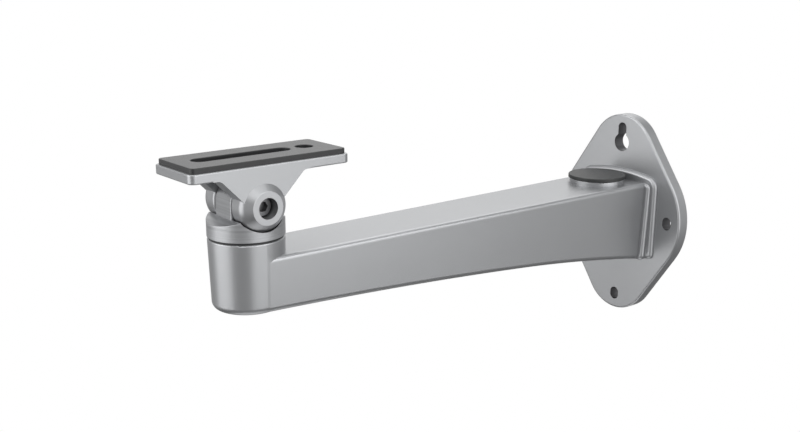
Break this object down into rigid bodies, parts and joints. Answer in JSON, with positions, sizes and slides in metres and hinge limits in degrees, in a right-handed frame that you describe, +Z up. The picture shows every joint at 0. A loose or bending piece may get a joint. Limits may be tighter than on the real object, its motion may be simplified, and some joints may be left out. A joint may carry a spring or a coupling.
{
  "type": "camera wall bracket",
  "caption": "Cast wall bracket with a hollow arm, an upright turret, a panning swivel base and a tilting slotted plate with a rubber pad for a camera.",
  "frame": {"origin": "on the wall face, midway between the two side slots of the wall plate", "axes": "+Y into the wall, so the arm stands out along -Y; +Z up; +X to the right of someone who faces the wall"},
  "size_m": [0.1014, 0.342, 0.1435],
  "materials": {
    "casting": "satin",
    "plug": "matte",
    "friction_nylon": "matte",
    "pad": "matte",
    "black_steel": "satin",
    "zinc_steel": "satin"
  },
  "bodies": {
    "arm": {"arm_casting": "casting", "cable_port_plug": "plug", "pan_friction_ring": "friction_nylon"},
    "swivel_head": {"swivel_base": "casting", "pan_bolt": "black_steel", "pan_washer": "zinc_steel", "pan_disc_springs": "zinc_steel"},
    "camera_head": {"camera_plate": "casting", "camera_pad": "pad", "tilt_bolt": "black_steel", "tilt_lock_nut": "zinc_steel", "tilt_washer_left": "friction_nylon", "tilt_washer_right": "friction_nylon"}
  },
  "joints": [
    {"name": "pan", "type": "hinge", "parent": "arm", "child": "swivel_head", "pos_m": [0, -0.302, 0.0332], "axis": [0, 0, 1], "continuous": true},
    {"name": "tilt", "type": "hinge", "parent": "swivel_head", "child": "camera_head", "pos_m": [0, -0.302, 0.0515], "axis": [1, 0, 0], "range_deg": [-45, 45]}
  ]
}
